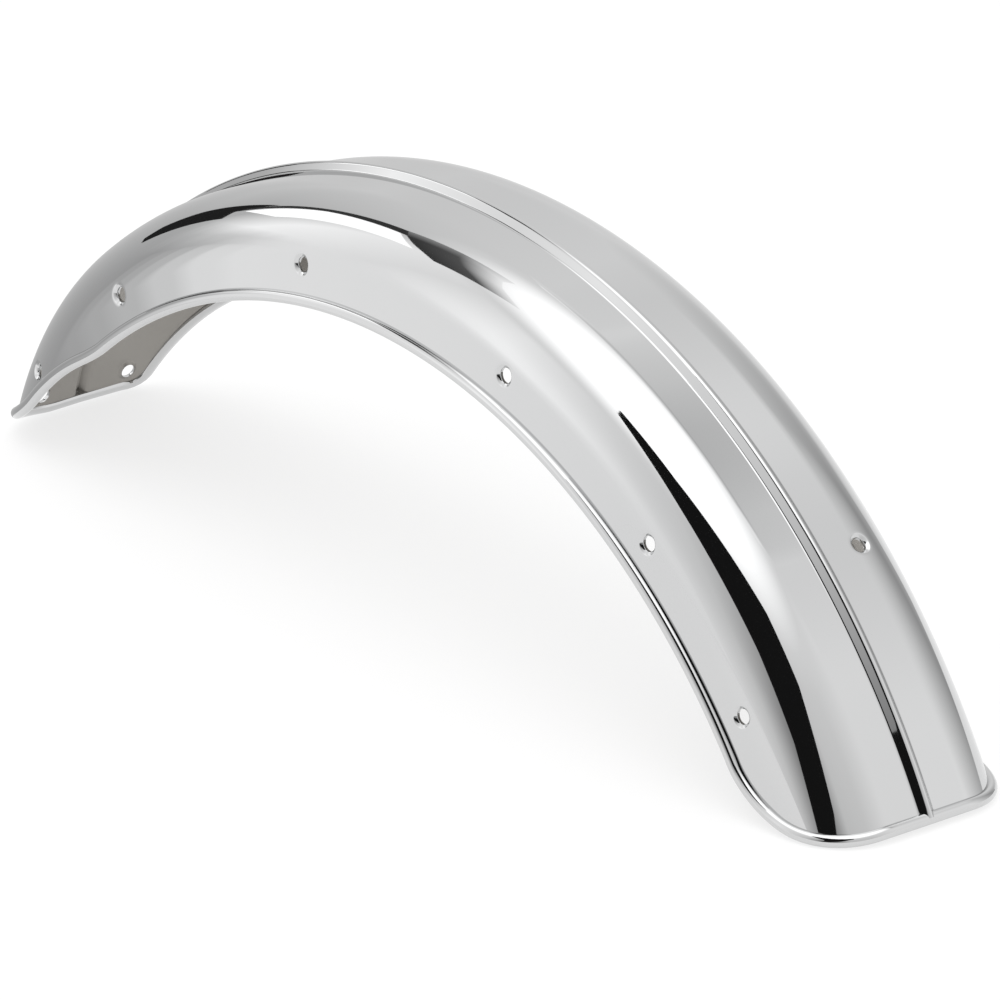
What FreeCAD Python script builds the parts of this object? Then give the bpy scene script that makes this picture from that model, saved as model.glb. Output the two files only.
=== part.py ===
import FreeCAD
import Part
import math
import os

# A rear fender for a motorcycle: one piece of sheet steel, pressed to a ribbed section, drawn
# round the wheel on two tangent arcs, trimmed to its outline and rolled over into a round bead
# along the whole edge. Millimetres and degrees.
# X is forward, Y to the left, Z up. The fender stands on the beads of its two ends.

# The arch, seen from the side. Angles are from the top, forward positive.
crown_radius = 342.8        # wheel centre to the inside of the crown
front_radius = 197.5        # the front run curls in on this tighter arc
front_break = 40.6          # where the tighter arc takes over
rear_end = -62.1

# The section across the sheet, measured on its inside.
sheet_thickness = 1.4
crown_fall = 1.0            # slope of the crown away from the middle line
crown_blend = 60.0          # radius that joins the two slopes
shoulder_half_width = 48.1  # where the lines of crown and skirt would cross
shoulder_radius = 30.3
skirt_splay = 6.4           # lean of the skirt outwards from upright
rib_half_width = 6.6
rib_height = 4.7            # to the sharp ridge, before it is rounded
rib_top_radius = 2.2
rib_foot_radius = 3.4

# The outline of the flat blank. Girth is measured along the sheet from the middle line.
edge_girth = 80.1
rear_corner_radius = 55.0
taper_blend = 130.0         # eases the side edges into the tapers
left_taper = 110.0          # the skirts are cut back over these lengths at the front,
right_taper = 130.0         # the right one further
left_front_girth = 53.5
right_front_girth = 32.5
left_corner_radius = 52.0
right_corner_radius = 11.0

# The rolled edge.
bead_radius = 3.0
bead_lift = 1.6             # from the inside of the sheet out to the middle of the bead

# Bolt holes, each in a dimple pressed inwards.
hole_radius = 3.5
dimple_radius = 4.9
dimple_depth = 1.2
skirt_hole_angles = (36.0, 10.0, -15.6, -35.0, -50.5)
skirt_hole_girth = 64.3
forward_hole_setback = 52.0 # one more, in the left skirt only, from the front end
forward_hole_girth = 56.9
tab_hole_setback = 9.5      # a pair by the front end
tab_hole_girth = 24.0
lead_hole_angle = -42.0     # one hole for a lamp lead, to the right of the rib
lead_hole_girth = -24.5
hole_overrun = 2.0          # how far the cutting tools start above the sheet

# Working sizes.
blank_margin = 10.0         # what the trimming takes off the blank
trim_reach = 9.0            # half height of the wall that trims it
path_step = 9.0             # spacing of the points that carry the outline onto the arch
heading_probe = 0.01        # half the length over which a direction of the outline is taken
straight_limit = 1e-4       # turn in radians below which an arc is drawn as a line

LEFT = FreeCAD.Vector(0, 1, 0)
WHEEL_CENTRE = FreeCAD.Vector(0, 0, 0)


def rounded_line(corners, radii):
    """Edges through the corners, with an arc of the given radius at each inner one."""
    edges = []
    start = corners[0]
    for before, corner, after, radius in zip(corners, corners[1:], corners[2:], radii):
        back = (before - corner).normalize()
        ahead = (after - corner).normalize()
        half = back.getAngle(ahead) / 2
        reach = radius / math.tan(half)
        inwards = (back + ahead).normalize()
        first = corner + back * reach
        last = corner + ahead * reach
        nearest = corner + inwards * (radius / math.sin(half) - radius)
        edges.append(Part.LineSegment(start, first).toShape())
        edges.append(Part.Arc(first, nearest, last).toShape())
        start = last
    edges.append(Part.LineSegment(start, corners[-1]).toShape())
    return edges


def mirrored(points):
    return [FreeCAD.Vector(p.x, -p.y, p.z) for p in reversed(points)]


def along(edges, length):
    """Point and direction at a length along a run of edges."""
    for edge in edges:
        if length <= edge.Length or edge is edges[-1]:
            break
        length -= edge.Length
    at = edge.getParameterByLength(min(max(length, 0.0), edge.Length))
    return edge.valueAt(at), edge.tangentAt(at)


# Sections in the upright plane through the wheel axis, from right to left: with the rib for
# the sheet, and plain for the rolled edge, which runs straight across under the rib's ends.
fall = math.tan(math.radians(crown_fall))
splay = math.radians(skirt_splay)
skirt_line = FreeCAD.Vector(0, math.sin(splay), -math.cos(splay))
shoulder = FreeCAD.Vector(0, shoulder_half_width, crown_radius - shoulder_half_width * fall)
skirt_end = shoulder + skirt_line * (edge_girth + blank_margin - shoulder_half_width)
crown_top = FreeCAD.Vector(0, 0, crown_radius)
rib_foot = FreeCAD.Vector(0, rib_half_width, crown_radius - rib_half_width * fall)
rib_ridge = FreeCAD.Vector(0, 0, rib_foot.z + rib_height)

half = [shoulder, skirt_end]
plain = rounded_line(mirrored(half) + [crown_top] + half,
                     [shoulder_radius, crown_blend, shoulder_radius])
plain_middle = sum(edge.Length for edge in plain) / 2

half = [rib_foot, shoulder, skirt_end]
ribbed = rounded_line(mirrored(half) + [rib_ridge] + half,
                      [shoulder_radius, rib_foot_radius, rib_top_radius, rib_foot_radius, shoulder_radius])
section = Part.Wire(ribbed).makeOffset2D(-sheet_thickness, fill=True, openResult=True)

# The arch. The front end is placed level with the rear one.
centre_rise = crown_radius - front_radius
break_turn = FreeCAD.Rotation(LEFT, front_break)
front_centre = break_turn.multVec(FreeCAD.Vector(0, 0, centre_rise))
rear_level = crown_radius * math.cos(math.radians(rear_end))
front_end = math.degrees(math.acos((rear_level - front_centre.z) / front_radius))
rear_run = crown_radius * math.radians(rear_end)
break_run = crown_radius * math.radians(front_break)
front_run = break_run + front_radius * math.radians(front_end - front_break)


def arch_at(run):
    """Placement that carries the upright section to a distance along the crown."""
    main_run = min(run, break_run)
    main_turn = FreeCAD.Rotation(LEFT, math.degrees(main_run / crown_radius))
    front_turn = FreeCAD.Rotation(LEFT, math.degrees((run - main_run) / front_radius))
    main = FreeCAD.Placement(FreeCAD.Vector(), main_turn, WHEEL_CENTRE)
    return FreeCAD.Placement(FreeCAD.Vector(), front_turn, front_centre).multiply(main)


def on_sheet(run, girth):
    """Point on the plain inside of the sheet and the direction out of it."""
    point, across = along(plain, plain_middle + girth)
    place = arch_at(run)
    return place.multVec(point), place.Rotation.multVec(FreeCAD.Vector(0, -across.z, across.y))


# The blank: the section turned round the wheel centre, then round the front centre.
main_section = section.copy()
main_section.Placement = arch_at(rear_run - blank_margin)
main_angle = front_break - math.degrees((rear_run - blank_margin) / crown_radius)
front_section = section.copy()
front_section.Placement = arch_at(break_run)
front_angle = math.degrees((front_run + blank_margin - break_run) / front_radius)
main_sheet = main_section.revolve(WHEEL_CENTRE, LEFT, main_angle)
front_sheet = front_section.revolve(front_centre, LEFT, front_angle)
blank = main_sheet.fuse(front_sheet)


def half_outline(taper, front_girth, corner_radius):
    """Half of the outline in the flat, run forward by girth outwards, from rear to front middle."""
    return rounded_line([FreeCAD.Vector(rear_run, 0, 0),
                         FreeCAD.Vector(rear_run, edge_girth, 0),
                         FreeCAD.Vector(front_run - taper, edge_girth, 0),
                         FreeCAD.Vector(front_run, front_girth, 0),
                         FreeCAD.Vector(front_run, 0, 0)],
                        [rear_corner_radius, taper_blend, corner_radius])


# Both halves are carried onto the left of the arch, and what follows the right one is mirrored.
left_outline = half_outline(left_taper, left_front_girth, left_corner_radius)
right_outline = half_outline(right_taper, right_front_girth, right_corner_radius)


def length_of(outline):
    return sum(edge.Length for edge in outline)


def edge_point(outline, length, height):
    """Point at a length along an outline, carried onto the arch, at a height over the sheet."""
    flat = along(outline, length)[0]
    point, out = on_sheet(flat.x, flat.y)
    return point + out * height


def steps(start, end):
    count = math.ceil((end - start) / path_step)
    return [start + (end - start) * i / count for i in range(count + 1)]


def trim_rail(height):
    """Closed curve along the whole outline at a height over the sheet."""
    left, right = ([edge_point(outline, length, height) for length in steps(0, length_of(outline))]
                   for outline in (left_outline, right_outline))
    curve = Part.BSplineCurve()
    curve.interpolate(Points=left + mirrored(right)[1:-1], PeriodicFlag=True)
    return curve.toShape()


# The blank is trimmed by a wall that stands square to the sheet along the outline.
trim_wall = Part.makeRuledSurface(trim_rail(-trim_reach), trim_rail(trim_reach))
sheet = max(blank.generalFuse([trim_wall])[0].Solids, key=lambda solid: solid.Volume)


def arc_from(start, heading, end):
    """Arc that leaves the start along the heading and meets the end."""
    chord = end - start
    angle = heading.getAngle(chord)
    if angle < straight_limit:
        return Part.LineSegment(start, end).toShape()
    bulge = (heading - chord * (heading.dot(chord) / chord.dot(chord))).normalize()
    middle = (start + end) / 2 + bulge * (chord.Length / 2 * math.tan(angle / 2))
    return Part.Arc(start, middle, end).toShape()


def arc_pair(start, heading, end, arrival):
    """Two tangent arcs from one point and direction to another."""
    gap = end - start
    both = heading + arrival
    spread = 2 * (1 - heading.dot(arrival))
    along_gap = gap.dot(both)
    reach = gap.dot(gap) / (along_gap + math.sqrt(along_gap ** 2 + spread * gap.dot(gap)))
    joint = (start + end + (heading - arrival) * reach) / 2
    joint_heading = (end - start - both * reach).normalize()
    return [arc_from(start, heading, joint), arc_from(joint, joint_heading, end)]


# The rolled edge: a round bar along each half of the outline. The straight side, which is one
# arc of the arch, is left out of its stops.
def heading_at(outline, length):
    if length == 0:
        return LEFT
    if length == length_of(outline):
        return -LEFT
    ahead = edge_point(outline, length + heading_probe, bead_lift)
    return (ahead - edge_point(outline, length - heading_probe, bead_lift)).normalize()


def bead_stops(outline):
    side_start = outline[0].Length + outline[1].Length
    side_length = min(break_run - rear_run - rear_corner_radius, outline[2].Length)
    return steps(0, side_start) + steps(side_start + side_length - path_step / 2, length_of(outline))


def bead_along(outline):
    """A round bar along tangent arcs that follow half of the outline."""
    stops = bead_stops(outline)
    path = []
    for length, following in zip(stops, stops[1:]):
        path += arc_pair(edge_point(outline, length, bead_lift), heading_at(outline, length),
                         edge_point(outline, following, bead_lift), heading_at(outline, following))
    ring = Part.makeCircle(bead_radius, edge_point(outline, 0, bead_lift), LEFT)
    return Part.Wire(path).makePipeShell([Part.Wire(ring)], True, False)


body = sheet.fuse([bead_along(left_outline), bead_along(right_outline).mirror(WHEEL_CENTRE, LEFT)])

# The holes: each a mouth on the outside of the sheet and the direction it is punched in.
def mouth_at(run, girth):
    point, out = on_sheet(run, girth)
    return point + out * sheet_thickness


holes = []
for angle in skirt_hole_angles:
    for hand in (1, -1):
        holes.append((mouth_at(crown_radius * math.radians(angle), hand * skirt_hole_girth), LEFT * -hand))
forward_run = front_run - forward_hole_setback
holes.append((mouth_at(forward_run, forward_hole_girth), -on_sheet(forward_run, forward_hole_girth)[1]))
tab_run = front_run - tab_hole_setback
lead_run = crown_radius * math.radians(lead_hole_angle)
for run, girth in ((tab_run, tab_hole_girth), (tab_run, -tab_hole_girth), (lead_run, lead_hole_girth)):
    holes.append((mouth_at(run, girth), arch_at(run).Rotation.multVec(FreeCAD.Vector(0, 0, -1))))

dimple_slope = (dimple_radius - hole_radius) / dimple_depth
boss_radius = hole_radius + sheet_thickness
boss_start = sheet_thickness / 2
boss_height = dimple_depth + sheet_thickness - boss_start
bosses = []
cuts = []
for mouth, inwards in holes:
    above = mouth - inwards * hole_overrun
    bosses.append(Part.makeCone(boss_radius + dimple_slope * boss_height, boss_radius, boss_height,
                                mouth + inwards * boss_start, inwards))
    cuts.append(Part.makeCone(dimple_radius + dimple_slope * hole_overrun, hole_radius,
                              hole_overrun + dimple_depth, above, inwards))
    cuts.append(Part.makeCylinder(hole_radius, 2 * hole_overrun + dimple_depth + sheet_thickness,
                                  above, inwards))
fender = body.fuse(bosses).cut(cuts).Solids[0]

# The fender is set level on its two ends, with the middle of its box over the origin.
ends = [edge_point(outline, length, bead_lift)
        for outline in (left_outline, right_outline) for length in bead_stops(outline)]
rear_foot = min((p for p in ends if p.x < 0), key=lambda p: p.z)
front_foot = min((p for p in ends if p.x > 0), key=lambda p: p.z)
between = front_foot - rear_foot
tilt = math.degrees(math.atan2(between.z, between.x))
fender.rotate(WHEEL_CENTRE, LEFT, tilt)
box = fender.optimalBoundingBox()
to_floor = FreeCAD.Vector(-box.Center.x, -box.Center.y, -box.ZMin)
fender.translate(to_floor)

os.makedirs("parts", exist_ok=True)
fender.exportStep("parts/fender.step")

# Sizes and places for the record, in the frame that the fender stands in.
stand = FreeCAD.Placement(to_floor, FreeCAD.Rotation(LEFT, tilt))
print("box", box.XLength, box.YLength, box.ZLength)
print("wheel centre", to_floor, "tilt", tilt)
for mouth, inwards in holes:
    print("hole", stand.multVec(mouth), "punched along", stand.Rotation.multVec(inwards))
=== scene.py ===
import math

import bpy
import numpy as np
from mathutils import Matrix, Vector
from mathutils.geometry import delaunay_2d_cdt


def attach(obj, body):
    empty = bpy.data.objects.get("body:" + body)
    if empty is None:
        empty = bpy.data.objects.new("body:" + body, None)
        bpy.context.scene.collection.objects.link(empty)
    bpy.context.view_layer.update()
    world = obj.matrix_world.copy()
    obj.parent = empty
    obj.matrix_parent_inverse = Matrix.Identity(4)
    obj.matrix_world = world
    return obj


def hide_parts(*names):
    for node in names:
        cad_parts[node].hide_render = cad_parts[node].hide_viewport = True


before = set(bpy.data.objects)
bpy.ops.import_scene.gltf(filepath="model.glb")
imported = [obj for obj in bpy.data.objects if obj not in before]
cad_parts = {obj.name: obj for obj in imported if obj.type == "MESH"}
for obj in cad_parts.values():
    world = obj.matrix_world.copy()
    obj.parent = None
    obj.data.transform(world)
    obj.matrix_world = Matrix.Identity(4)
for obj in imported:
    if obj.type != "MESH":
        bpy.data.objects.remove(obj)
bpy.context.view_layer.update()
scene = bpy.context.scene

# The sheet: one blank of 1.4 mm steel, trimmed to its outline and punched with dimpled bolt
# holes. It is cut flat here, run forward along the crown and girth across it to the left, in
# millimetres, and Geometry Nodes then press it to its section and draw it round the wheel.
mm = 0.001
crown_radius = 344.2
front_radius = 198.9
front_break = math.radians(40.6)
rear_end = math.radians(-62.1)
front_lift = (crown_radius - front_radius) * math.cos(front_break)
front_end = math.acos((crown_radius * math.cos(rear_end) - front_lift) / front_radius)
rear_run = crown_radius * rear_end
break_run = crown_radius * front_break
front_run = break_run + front_radius * (front_end - front_break)
sheet_thickness = 1.4
wheel_centre = Vector((8.1545, 0.0, -157.0414))
stand_angle = math.radians(0.10333)
least_arc_steps = 12


def rounded(corners, radii, spacing):
    """Points along a line that turns each inner corner on an arc."""
    points = [Vector(corners[0])]

    def line_to(end):
        start = points[-1]
        count = math.ceil((end - start).length / spacing)
        points.extend(start.lerp(end, i / count) for i in range(1, count + 1))

    for before, corner, after, radius in zip(corners, corners[1:], corners[2:], radii):
        corner = Vector(corner)
        back = (Vector(before) - corner).normalized()
        ahead = (Vector(after) - corner).normalized()
        half = back.angle(ahead) / 2
        centre = corner + (back + ahead).normalized() * (radius / math.sin(half))
        line_to(corner + back * (radius / math.tan(half)))
        arm = points[-1] - centre
        turn = math.copysign(math.pi - 2 * half, back.cross(ahead) * -1)
        count = max(math.ceil(abs(turn) * radius / spacing), least_arc_steps)
        points.extend(centre + Matrix.Rotation(turn * i / count, 2) @ arm for i in range(1, count + 1))
    line_to(Vector(corners[-1]))
    return points


def length_of(points):
    return sum((b - a).length for a, b in zip(points, points[1:]))


def point_along(points, length):
    for a, b in zip(points, points[1:]):
        if length <= (b - a).length:
            break
        length -= (b - a).length
    return a.lerp(b, length / (b - a).length)


# Sections across the sheet, from right to left: half width and radius from the wheel centre. The
# plain one, without the rib, carries the edge.
crown_fall = math.tan(math.radians(1.0))
crown_blend = 60.0
rib_half_width = 3.9
rib_height = 4.65
rib_foot_radius = 1.2
rib_top_radius = 2.0
rib_reach = 9.0
shoulder_half_width = 49.25
shoulder_radius = 31.7
skirt_splay = math.radians(6.4)
skirt_length = 42.6
section_spacing = 0.2
foot = Vector((rib_half_width, crown_radius - rib_half_width * crown_fall))
shoulder = Vector((shoulder_half_width, crown_radius - shoulder_half_width * crown_fall))
skirt_end = shoulder + Vector((math.sin(skirt_splay), -math.cos(skirt_splay))) * skirt_length
ridge = Vector((0.0, foot.y + rib_height))
crown = Vector((0.0, crown_radius))
left_half = [foot, shoulder, skirt_end]
right_half = [Vector((-p.x, p.y)) for p in reversed(left_half)]
rib_radii = [rib_foot_radius, rib_top_radius, rib_foot_radius]
ribbed = rounded(right_half + [ridge] + left_half,
                 [shoulder_radius] + rib_radii + [shoulder_radius], section_spacing)
plain = rounded(right_half[:2] + [crown] + left_half[1:],
                [shoulder_radius, crown_blend, shoulder_radius], section_spacing)
rib_gain = (length_of(ribbed) - length_of(plain)) / 2

# The outline, cut back further on the right at the front.
edge_girth = 82.1
rear_corner_radius = 55.0
taper_blend = 130.0
outline_spacing = 1.0


def half_outline(taper, front_girth, corner_radius):
    return rounded([(rear_run, 0), (rear_run, edge_girth), (front_run - taper, edge_girth),
                    (front_run, front_girth), (front_run, 0)],
                   [rear_corner_radius, taper_blend, corner_radius], outline_spacing)


left_edge = half_outline(taper=110.0, front_girth=55.0, corner_radius=52.0)
right_edge = half_outline(taper=130.0, front_girth=33.0, corner_radius=11.0)
outline = left_edge + [Vector((p.x, -p.y)) for p in reversed(right_edge[1:-1])]

# The holes, by run, girth and the stretch along the run that drawing takes back: along both
# skirts, at the front of the left one, a pair at the front edge and one in the crown. A dimple is
# rings of radius and depth, from the hole outwards.
skirt_hole_angles = (36.0, 10.0, -15.6, -35.0, -50.5)
skirt_hole_girth = 66.3
forward_hole_setback = 52.0
forward_hole_girth = 58.5
tab_hole_setback = 9.5
tab_hole_girth = 24.0
lead_hole_angle = -42.0
lead_hole_girth = -24.5
dimple = [(3.5, 1.25), (3.6, 1.12), (4.6, 0.3), (4.85, 0.13), (5.05, 0.04), (5.25, 0.0), (6.4, 0.0)]
hole_radius = dimple[0][0]
dimple_reach = dimple[-1][0]
skirt_radius = point_along(plain, length_of(plain) / 2 + skirt_hole_girth).y
holes = []
for angle in skirt_hole_angles:
    for girth in (skirt_hole_girth, -skirt_hole_girth):
        holes.append((crown_radius * math.radians(angle), girth, crown_radius / skirt_radius))
holes.append((front_run - forward_hole_setback, forward_hole_girth, 1.0))
holes.append((front_run - tab_hole_setback, tab_hole_girth, 1.0))
holes.append((front_run - tab_hole_setback, -tab_hole_girth, 1.0))
holes.append((crown_radius * math.radians(lead_hole_angle), lead_hole_girth, 1.0))

flat_points = list(outline)
depths = [0.0] * len(outline)
flat_edges = [(i, (i + 1) % len(outline)) for i in range(len(outline))]
ring_count = 36
for run, girth, stretch in holes:
    for radius, depth in dimple:
        first = len(flat_points)
        for i in range(ring_count):
            turn = math.tau * i / ring_count
            flat_points.append(Vector((run + radius * math.cos(turn) * stretch,
                                       girth + radius * math.sin(turn))))
            depths.append(depth)
            if radius == hole_radius:
                flat_edges.append((first + i, first + (i + 1) % ring_count))


def in_hole(point, reach):
    for run, girth, stretch in holes:
        if math.hypot((point.x - run) / stretch, point.y - girth) < reach:
            return True
    return False


# Points over the rest of the blank, close together across the rib.
rib_lines = 25
rib_line_gap = 0.4
side_line_gap = 1.8
row_gap = 4.0
edge_margin = 1.0
hole_margin = 0.6
rib_zone = rib_lines * rib_line_gap
side_lines = int((edge_girth - rib_zone) / side_line_gap)
girth_lines = [i * rib_line_gap for i in range(-rib_lines, rib_lines + 1)]
girth_lines += [side * (rib_zone + i * side_line_gap) for i in range(1, side_lines + 1) for side in (1, -1)]
row_count = math.ceil((front_run - rear_run) / row_gap)
for i in range(1, row_count):
    run = rear_run + (front_run - rear_run) * i / row_count
    for girth in girth_lines:
        edge = left_edge if girth > 0 else right_edge
        reach = np.interp(run, [p.x for p in edge], [p.y for p in edge]) - edge_margin
        point = Vector((run, girth))
        if abs(girth) < reach and not in_hole(point, dimple_reach + hole_margin):
            flat_points.append(point)
            depths.append(0.0)

# The straight sides are bulged for the triangulation, which needs each edge point to stand out.
bulge = 0.1
merge_distance = 1e-6
least_area = 0.001
bulged = [Vector((p.x * (1 + bulge - bulge * (p.y / edge_girth) ** 2),
                  p.y * (1 + bulge - bulge * (p.x / rear_run) ** 2))) for p in flat_points]
cut = delaunay_2d_cdt(bulged, flat_edges, [list(range(len(outline)))], 1, merge_distance, True)
triangles, sources = cut[2], [source[0] for source in cut[3]]
corners = [flat_points[source] for source in sources]
kept = []
for triangle in triangles:
    a, b, c = (corners[i] for i in triangle)
    if (b - a).cross(c - a) / 2 > least_area and not in_hole((a + b + c) / 3, hole_radius):
        kept.append(tuple(triangle))

# The inner face is the same triangles turned over, and each open edge gets a wall.
lower = len(corners)
plate_points = []
for drop in (0.0, sheet_thickness):
    plate_points += [(p.x, p.y, -depths[source] - drop) for p, source in zip(corners, sources)]
open_edges = set()
for a, b, c in kept:
    open_edges ^= {(a, b), (b, c), (c, a)}
open_edges = {edge for edge in open_edges if edge[::-1] not in open_edges}
plate_faces = list(kept)
plate_faces += [(c + lower, b + lower, a + lower) for a, b, c in kept]
plate_faces += [(a, a + lower, b + lower, b) for a, b in sorted(open_edges)]
plate_mesh = bpy.data.meshes.new("sheet_flat")
plate_mesh.from_pydata(plate_points, [], plate_faces)
plate_mesh.shade_smooth()
plate_mesh.set_sharp_from_angle(angle=math.radians(40))
inner_side = plate_mesh.attributes.new("inner_side", "BOOLEAN", "FACE")
inner_side.data.foreach_set("value", [len(kept) <= i < 2 * len(kept)
                                      for i in range(len(plate_faces))])
plate = bpy.data.objects.new("sheet_flat", plate_mesh)
scene.collection.objects.link(plate)


def section_curve(name, points):
    curve = bpy.data.curves.new(name, "CURVE")
    curve.dimensions = "3D"
    spline = curve.splines.new("POLY")
    spline.points.add(len(points) - 1)
    for spot, point in zip(spline.points, points):
        spot.co = (0, point.x, point.y, 1)
    return bpy.data.objects.new(name, curve)


def add_node(tree, kind, inputs, **settings):
    """A new node with its settings, its inputs given by name or number."""
    node = tree.nodes.new(kind)
    for name, value in settings.items():
        setattr(node, name, value)
    for name, value in inputs.items():
        if isinstance(value, Wire):
            tree.links.new(value.socket, node.inputs[name])
        else:
            node.inputs[name].default_value = value
    return node


class Wire:
    """An output of a node, so that node maths reads as maths."""

    def __init__(self, socket):
        self.socket = socket

    def make(self, kind, inputs, output=0, **settings):
        return Wire(add_node(self.socket.id_data, kind, inputs, **settings).outputs[output])

    def maths(self, operation, first, second=0.0):
        return self.make("ShaderNodeMath", {0: first, 1: second}, operation=operation)

    def __add__(self, other):
        return self.maths("ADD", self, other)

    def __sub__(self, other):
        return self.maths("SUBTRACT", self, other)

    def __rsub__(self, other):
        return self.maths("SUBTRACT", other, self)

    def __mul__(self, other):
        return self.maths("MULTIPLY", self, other)

    def __truediv__(self, other):
        return self.maths("DIVIDE", self, other)

    __radd__ = __add__


def new_tree(name, sockets):
    """A Geometry Nodes tree with one geometry in and out and the named inputs."""
    tree = bpy.data.node_groups.new(name, "GeometryNodeTree")
    tree.interface.new_socket("Geometry", in_out="OUTPUT", socket_type="NodeSocketGeometry")
    tree.interface.new_socket("Geometry", in_out="INPUT", socket_type="NodeSocketGeometry")
    for label, kind in sockets:
        tree.interface.new_socket(label, in_out="INPUT", socket_type=kind)
    entry = tree.nodes.new("NodeGroupInput")
    return tree, {socket.name: Wire(socket) for socket in entry.outputs if socket.name}


def close_tree(tree, geometry):
    add_node(tree, "NodeGroupOutput", {0: geometry})


# Onto the arch: the girth is measured along the section, which takes up the rib's gain within the
# rib's reach, and the run turns it about the axle and, past the break, about the front's centre.
arch_sockets = [("Section", "NodeSocketObject"), ("Rib gain", "NodeSocketFloat"),
                ("Rib reach", "NodeSocketFloat"), ("Crown radius", "NodeSocketFloat"),
                ("Front radius", "NodeSocketFloat"), ("Break angle", "NodeSocketFloat"),
                ("Stand turn", "NodeSocketFloat"), ("Stand place", "NodeSocketVector")]
arch, given = new_tree("Onto the arch", arch_sockets)
flat = Wire(arch.nodes.new("GeometryNodeInputPosition").outputs[0])
parts = add_node(arch, "ShaderNodeSeparateXYZ", {0: flat})
run, girth, height = (Wire(socket) for socket in parts.outputs)
section = given["Section"].make("GeometryNodeObjectInfo", {"Object": given["Section"]}, "Geometry")
middle = section.make("GeometryNodeCurveLength", {0: section}) / 2
over_rib = girth.make("ShaderNodeClamp", {"Value": girth / given["Rib reach"], "Min": -1.0, "Max": 1.0})
spot = add_node(arch, "GeometryNodeSampleCurve",
                {"Curves": section, "Length": middle + girth + over_rib * given["Rib gain"]}, mode="LENGTH")
lean = add_node(arch, "ShaderNodeSeparateXYZ", {0: Wire(spot.outputs["Tangent"])})
across = Wire(spot.outputs["Tangent"])
out = girth.make("ShaderNodeCombineXYZ", {1: 0 - Wire(lean.outputs[2]), 2: Wire(lean.outputs[1])})
lifted = girth.make("ShaderNodeVectorMath", {0: out, "Scale": height}, operation="SCALE")
place = girth.make("ShaderNodeVectorMath", {0: Wire(spot.outputs["Position"]), 1: lifted}, operation="ADD")
main_run = run.maths("MINIMUM", run, given["Break angle"] * given["Crown radius"])
main_turn = main_run / given["Crown radius"]
front_turn = (run - main_run) / given["Front radius"]
rise = given["Crown radius"] - given["Front radius"]
front_centre = rise.make("ShaderNodeCombineXYZ", {0: rise * rise.maths("SINE", given["Break angle"]),
                                                  2: rise * rise.maths("COSINE", given["Break angle"])})


def turned(vector, angle, centre=(0.0, 0.0, 0.0)):
    return vector.make("ShaderNodeVectorRotate", {"Vector": vector, "Center": centre, "Angle": angle},
                       rotation_type="Y_AXIS")


place = turned(turned(place, main_turn), front_turn, front_centre)
whole_turn = main_turn + front_turn + given["Stand turn"]
shaped = given["Geometry"]
for label, vector in (("across", across), ("out", out)):
    shaped = shaped.make("GeometryNodeStoreNamedAttribute",
                         {"Geometry": shaped, "Name": label, "Value": turned(vector, whole_turn)},
                         data_type="FLOAT_VECTOR", domain="POINT")
shaped = shaped.make("GeometryNodeSetPosition", {"Geometry": shaped, "Position": place})
stand_turn = rise.make("ShaderNodeCombineXYZ", {1: given["Stand turn"]})
metres = rise.make("ShaderNodeVectorMath", {0: given["Stand place"], "Scale": mm}, operation="SCALE")
shaped = shaped.make("GeometryNodeTransform", {"Geometry": shaped, "Translation": metres,
                                               "Rotation": stand_turn, "Scale": (mm, mm, mm)})
close_tree(arch, shaped)


# Chrome plate on the outside: a clear mirror with a trace of polishing haze. The inside is
# plated but never polished, a dull warm grey.
def new_material(name):
    material = bpy.data.materials.new(name)
    material.use_nodes = True
    shader = material.node_tree.nodes["Principled BSDF"]
    where = Wire(add_node(material.node_tree, "ShaderNodeTexCoord", {}).outputs["Object"])
    return material, shader, where


def set_shader(shader, name, wire):
    wire.socket.id_data.links.new(wire.socket, shader.inputs[name])


def noise(where, scale, detail):
    return where.make("ShaderNodeTexNoise", {"Vector": where, "Scale": scale, "Detail": detail})


def grey_mix(factor, dark, pale):
    return factor.make("ShaderNodeMix", {"Factor": factor, "A": dark, "B": pale}, 2, data_type="RGBA")


chrome, shader, where = new_material("chrome_plate")
haze = noise(where, 30.0, 4.0)
tone = noise(where, 4.0, 2.0)
set_shader(shader, "Base Color", grey_mix(tone, (0.6, 0.605, 0.61, 1), (0.64, 0.64, 0.64, 1)))
set_shader(shader, "Roughness", 0.015 + haze * 0.03)
shader.inputs["Metallic"].default_value = 1.0

satin, shader, where = new_material("dull_plate")
cloud = noise(where, 22.0, 5.0)
set_shader(shader, "Base Color", grey_mix(cloud, (0.3, 0.285, 0.265, 1), (0.4, 0.385, 0.36, 1)))
set_shader(shader, "Roughness", 0.34 + cloud * 0.16)
shader.inputs["Metallic"].default_value = 0.85

# The sheet is pressed and drawn, and its normals are carried from the flat, where the sheet is
# exactly level, so that the mirror shows no facets.
sheet_tree, given = new_tree("Pressed sheet", arch_sockets + [("Outside", "NodeSocketMaterial"),
                                                              ("Inside", "NodeSocketMaterial")])
bent = add_node(sheet_tree, "GeometryNodeGroup", {}, node_tree=arch)
for label in ["Geometry"] + [label for label, kind in arch_sockets]:
    sheet_tree.links.new(given[label].socket, bent.inputs[label])
inner = add_node(sheet_tree, "GeometryNodeInputNamedAttribute", {"Name": "inner_side"}, data_type="BOOLEAN")
skin = given["Geometry"].make("GeometryNodeRealizeInstances", {0: Wire(bent.outputs[0])})
skin = skin.make("GeometryNodeSetMaterial", {"Geometry": skin, "Material": given["Outside"]})
skin = skin.make("GeometryNodeSetMaterial", {"Geometry": skin, "Selection": Wire(inner.outputs[0]),
                                             "Material": given["Inside"]})
close_tree(sheet_tree, skin)

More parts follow.
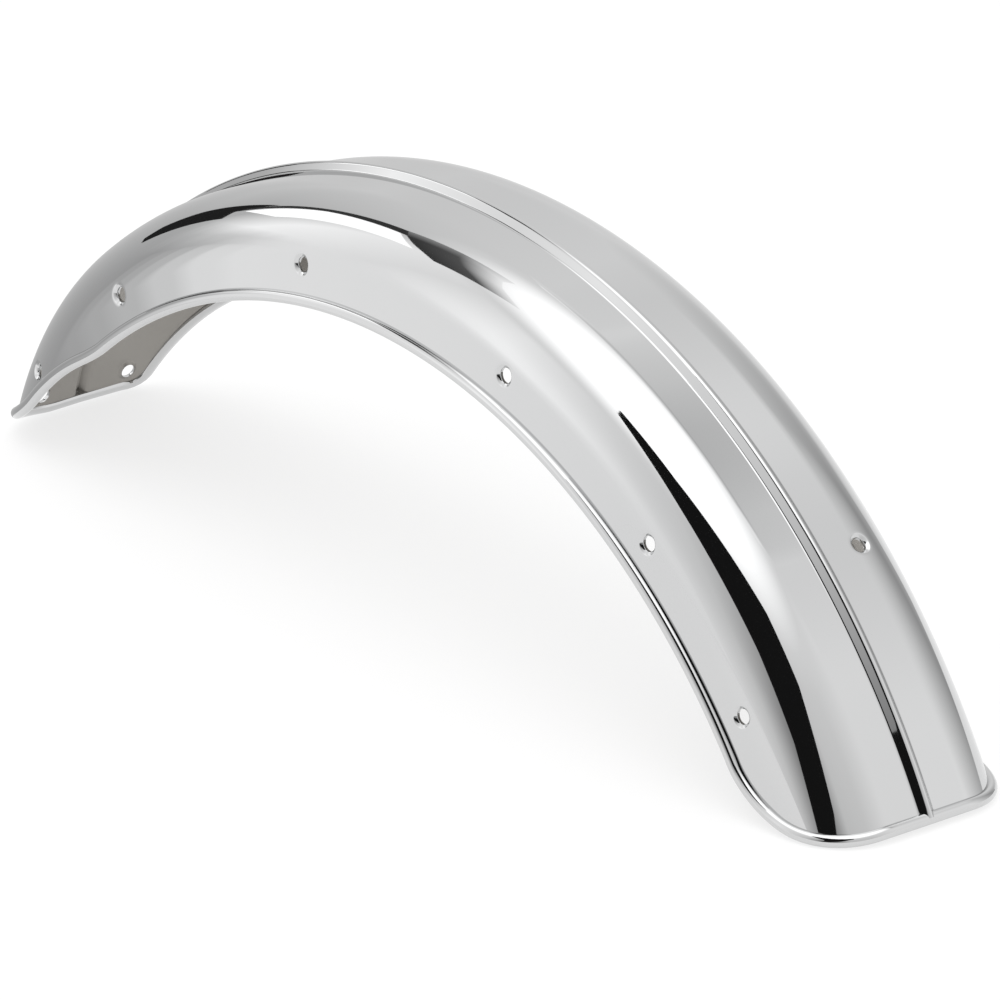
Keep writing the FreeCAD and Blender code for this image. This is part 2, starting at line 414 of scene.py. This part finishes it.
arch_values = {"Rib gain": 0.0, "Rib reach": rib_reach, "Crown radius": crown_radius,
               "Front radius": front_radius, "Break angle": front_break,
               "Stand turn": stand_angle, "Stand place": tuple(wheel_centre)}


def made_by(tree, base, values):
    """Mesh that a tree makes of an object, with the tree's inputs set by their identifiers."""
    modifier = base.modifiers.new(tree.name, "NODES")
    modifier.node_group = tree
    for item in tree.interface.items_tree:
        if item.in_out == "INPUT" and item.name in values:
            modifier[item.identifier] = values[item.name]
    view = bpy.context.evaluated_depsgraph_get()
    mesh = bpy.data.meshes.new_from_object(base.evaluated_get(view))
    bpy.data.objects.remove(base)
    return mesh


flat_normals = np.empty(len(plate_mesh.loops) * 3)
plate_mesh.corner_normals.foreach_get("vector", flat_normals)
flat_normals = flat_normals.reshape(-1, 3)
sheet_mesh = made_by(sheet_tree, plate, {**arch_values, "Rib gain": rib_gain,
                                         "Section": section_curve("ribbed_section", ribbed),
                                         "Outside": chrome, "Inside": satin})
corner_points = np.empty(len(sheet_mesh.loops), int)
sheet_mesh.loops.foreach_get("vertex_index", corner_points)
frames = []
for label in ("across", "out"):
    values = np.empty(len(sheet_mesh.vertices) * 3)
    sheet_mesh.attributes[label].data.foreach_get("vector", values)
    frames.append(values.reshape(-1, 3)[corner_points])
ahead = np.cross(frames[0], frames[1])
normals = flat_normals[:, :1] * ahead + flat_normals[:, 1:2] * frames[0] + flat_normals[:, 2:] * frames[1]
sheet_mesh.normals_split_custom_set(normals / np.linalg.norm(normals, axis=1, keepdims=True))
sheet = bpy.data.objects.new("sheet", sheet_mesh)
scene.collection.objects.link(sheet)
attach(sheet, "root")
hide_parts("fender")

# The rolled edge: the sheet's own rim turned over into a round bead, chromed with it. The
# outline is drawn round the wheel by the same tree and carries a round profile.
edge_tree, given = new_tree("Rolled edge", arch_sockets + [("Bead radius", "NodeSocketFloat"),
                                                           ("Outside", "NodeSocketMaterial")])
path = given["Geometry"].make("GeometryNodeMeshToCurve", {"Mesh": given["Geometry"]})
bent = add_node(edge_tree, "GeometryNodeGroup", {0: path}, node_tree=arch)
for label, kind in arch_sockets:
    edge_tree.links.new(given[label].socket, bent.inputs[label])
ring = given["Geometry"].make("GeometryNodeCurvePrimitiveCircle",
                              {"Resolution": 28, "Radius": given["Bead radius"] * mm})
bead_skin = ring.make("GeometryNodeCurveToMesh", {"Curve": Wire(bent.outputs[0]), "Profile Curve": ring})
bead_skin = ring.make("GeometryNodeSetShadeSmooth", {"Geometry": bead_skin})
bead_skin = ring.make("GeometryNodeRealizeInstances", {0: bead_skin})
bead_skin = ring.make("GeometryNodeSetMaterial", {"Geometry": bead_skin, "Material": given["Outside"]})
close_tree(edge_tree, bead_skin)
bead_radius = 2.8
bead_lift = 0.2
rim_step = 3
rim_mesh = bpy.data.meshes.new("rim_flat")
rim = outline[::rim_step]
rim_mesh.from_pydata([(p.x, p.y, bead_lift) for p in rim],
                     [(i, (i + 1) % len(rim)) for i in range(len(rim))], [])
rim_base = bpy.data.objects.new("rim_flat", rim_mesh)
scene.collection.objects.link(rim_base)
bead = bpy.data.objects.new("bead", made_by(edge_tree, rim_base, {
    **arch_values, "Section": section_curve("plain_section", plain),
    "Bead radius": bead_radius, "Outside": chrome}))
scene.collection.objects.link(bead)
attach(bead, "root")
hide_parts("fender")

# The studio: a pale floor, and a dome, dark screens and a soft box that only the mirror sees.
# These are given by bearing and lift as seen from the fender, in degrees. Bearing 0 is ahead.
floor_half = 20.0
floor_mesh = bpy.data.meshes.new("floor")
floor_mesh.from_pydata([(x * floor_half, y * floor_half, 0) for x, y in ((-1, -1), (1, -1), (1, 1), (-1, 1))],
                       [], [(0, 1, 2, 3)])
floor = bpy.data.objects.new("floor", floor_mesh)
scene.collection.objects.link(floor)
pale, shader, where = new_material("pale_floor")
tone = noise(where, 1.5, 2.0)
set_shader(shader, "Base Color", grey_mix(tone, (0.93, 0.93, 0.93, 1), (0.95, 0.95, 0.95, 1)))
shader.inputs["Roughness"].default_value = 0.9
shader.inputs["Specular IOR Level"].default_value = 0.0
tree = pale.node_tree
ray = add_node(tree, "ShaderNodeLightPath", {})
white_share = 0.75
seen = Wire(ray.outputs["Is Camera Ray"]) + Wire(ray.outputs["Is Glossy Ray"])
seen = seen + Wire(ray.outputs["Is Transmission Ray"])
white = add_node(tree, "ShaderNodeEmission", {"Strength": 1.0})
blend = add_node(tree, "ShaderNodeMixShader",
                 {0: seen * white_share, 1: Wire(shader.outputs[0]), 2: Wire(white.outputs[0])})
tree.links.new(blend.outputs[0], tree.nodes["Material Output"].inputs["Surface"])
floor_mesh.materials.append(pale)

# Each kind of card stands at its own distance, in metres, so that none cuts another.
screen_reach = 9.0
ribbon_reach = 10.0
shade_reach = 11.0
dome_reach = 12.0


def toward(bearing, lift):
    bearing = math.radians(bearing)
    lift = math.radians(lift)
    return Vector((math.cos(lift) * math.cos(bearing), math.cos(lift) * math.sin(bearing), math.sin(lift)))


def add_card(name, points, faces, levels):
    """A surface that glows by a level at each point, and that only mirrors see."""
    mesh = bpy.data.meshes.new(name)
    mesh.from_pydata(points, [], faces)
    mesh.attributes.new("level", "FLOAT", "POINT").data.foreach_set("value", levels)
    material = bpy.data.materials.new(name)
    material.use_nodes = True
    tree = material.node_tree
    tree.nodes.clear()
    level = add_node(tree, "ShaderNodeAttribute", {}, attribute_name="level")
    glow = add_node(tree, "ShaderNodeEmission", {"Color": Wire(level.outputs["Fac"]), "Strength": 1.0})
    add_node(tree, "ShaderNodeOutputMaterial", {"Surface": Wire(glow.outputs[0])})
    mesh.materials.append(material)
    card = bpy.data.objects.new(name, mesh)
    scene.collection.objects.link(card)
    card.visible_camera = False
    card.visible_diffuse = False
    card.visible_shadow = False


def add_screen(name, corners, level):
    add_card(name, [toward(*corner) * screen_reach for corner in corners],
             [tuple(range(len(corners)))], [level] * len(corners))


def add_sheet(name, rows):
    """A card through rows of points, each a place and its level."""
    count = len(rows[0])
    corners = [row * count + i for row in range(len(rows) - 1) for i in range(count - 1)]
    faces = [(corner, corner + 1, corner + count + 1, corner + count) for corner in corners]
    spots = [spot for row in rows for spot in row]
    add_card(name, [place for place, level in spots], faces, [level for place, level in spots])


def level_at(angle, steps):
    """The level at an angle, between steps of angle and level."""
    return float(np.interp(angle, *zip(*steps)))


# The dome goes round the horizon in broad swells and rises to a white top.
swells = [(-180, 0.8), (-135, 1.1), (-85, 0.4), (-50, 0.9), (0, 0.65), (8, 0.65), (22, 1.4), (40, 1.1),
          (55, 1.4), (76, 1.0), (92, 0.8), (115, 0.25), (130, 0.3), (150, 0.75), (180, 0.8)]


def dome_level(bearing, lift):
    low = level_at(bearing, swells)
    return level_at(lift, [(0, low), (20, low), (45, (low + 1) / 2), (52, 1.0), (66, 1.75)])


add_sheet("dome", [[(toward(bearing, lift) * dome_reach, dome_level(bearing, lift))
                    for bearing in range(-180, 181, 2)] for lift in range(0, 91, 3)])

# A black flag behind the left side, a dark post and a black box ahead, and a soft box beside them.
add_screen("black_flag", [(79, 67.5), (109, 65.5), (144, 60), (155, 55), (154, 44), (137, 22), (120, 6),
                          (106, 4), (114, 21), (113, 33), (99, 48), (79, 62)], 0.01)
add_screen("dark_post", [(7.5, 44), (-0.5, 44), (1, 24), (2.5, 16), (4, 16), (4, 30)], 0.05)
add_screen("black_box", [(9, 13), (4, 15.5), (0.5, 22.5), (-5, 10.5), (-6, 4.5), (-4, 2.5), (0, 2.5)], 0.02)
add_screen("soft_box", [(22.5, 41.5), (7.5, 42.5), (4.2, 30), (5, 17), (13.8, 20)], 1.7)

# A dark roof of three rows, each with its lift, first and last bearing and level. It fades upwards
# and toward its first bearings.
roof = []
for lift, first, last, level in ((43.6, -0.5, 27.5, 0.05), (53, -8, 30, 0.12), (61, -17, 32, 1.3)):
    paled = (level + 0.4) / 1.4
    roof.append([(toward(first, lift) * screen_reach, paled)]
                + [(toward(first + (last - first) * share, lift) * screen_reach, level)
                   for share in (0.3, 0.6, 1.0)])
add_sheet("dark_roof", roof)

# A soft dark ribbon high on the far side, by bearing, lift and level along its middle.
ribbon = [(-45, 47, 1.0), (-65, 54.5, 0.72), (-90, 57.3, 0.58), (-112, 55, 0.65), (-122, 51.5, 1.0)]
ribbon_half = 3
add_sheet("dark_ribbon", [
    [(toward(bearing, lift + ribbon_half) * ribbon_reach, 1.3) for bearing, lift, level in ribbon],
    [(toward(bearing, lift) * ribbon_reach, level) for bearing, lift, level in ribbon],
    [(toward(bearing, lift - ribbon_half) * ribbon_reach, 1.0) for bearing, lift, level in ribbon]])

# The floor as the mirror sees it, shaded round the front end, and the same shade low on the dome.
shades = [(-75, 1.0), (-20, 0.65), (18, 0.48), (26, 0.65), (34, 1.15), (76, 1.05)]
shade_bearings = range(-75, 76, 3)
near_reach = 0.3
off_floor = Vector((0, 0, 0.0005))
add_sheet("floor_shade", [[(toward(bearing, 0) * reach + off_floor, level_at(bearing, shades))
                           for bearing in shade_bearings] for reach in (shade_reach, near_reach)])
low_shade = []
for lift, share in ((12, 1.0), (6, 0.35), (0, 0.0)):
    low_shade.append([(toward(bearing, lift) * shade_reach,
                       level_at(bearing, shades) * (1 - share) + dome_level(bearing, lift) * share)
                      for bearing in shade_bearings])
add_sheet("low_shade", low_shade)

# White light from all round, and a soft lamp overhead that the mirror doesn't see.
world = bpy.data.worlds.new("studio")
scene.world = world
world.use_nodes = True
sky = world.node_tree.nodes["Background"]
sky.inputs["Strength"].default_value = 1.0
sky.inputs["Color"].default_value = (1, 1, 1, 1)

lamp = bpy.data.lights.new("overhead", "AREA")
lamp.energy = 25.0
lamp.size = 2.0
lamp_object = bpy.data.objects.new("overhead", lamp)
lamp_object.location = (-0.4, 0.6, 2.6)
lamp_object.rotation_euler = lamp_object.location.to_track_quat("Z", "Y").to_euler()
lamp_object.visible_glossy = False
scene.collection.objects.link(lamp_object)

# The camera, a long lens from the rear left as in the photo.
turn = math.radians(51.345)
lift = math.radians(23.108)
back = Vector((-math.cos(lift) * math.sin(turn), math.cos(lift) * math.cos(turn), math.sin(lift)))
right = Vector((-math.cos(turn), -math.sin(turn), 0))
up = back.cross(right)
camera_data = bpy.data.cameras.new("camera")
camera_data.lens = 490.97
camera_data.sensor_width = 36.0
camera = bpy.data.objects.new("camera", camera_data)
view_distance = 6.0
aim_right = 0.01047
aim_up = 0.189098
aim = wheel_centre * mm + right * aim_right + up * aim_up
spot = aim + back * view_distance
camera.matrix_world = Matrix((
    (right.x, up.x, back.x, spot.x), (right.y, up.y, back.y, spot.y),
    (right.z, up.z, back.z, spot.z), (0, 0, 0, 1)))
scene.collection.objects.link(camera)
scene.camera = camera
scene.view_settings.view_transform = "Standard"
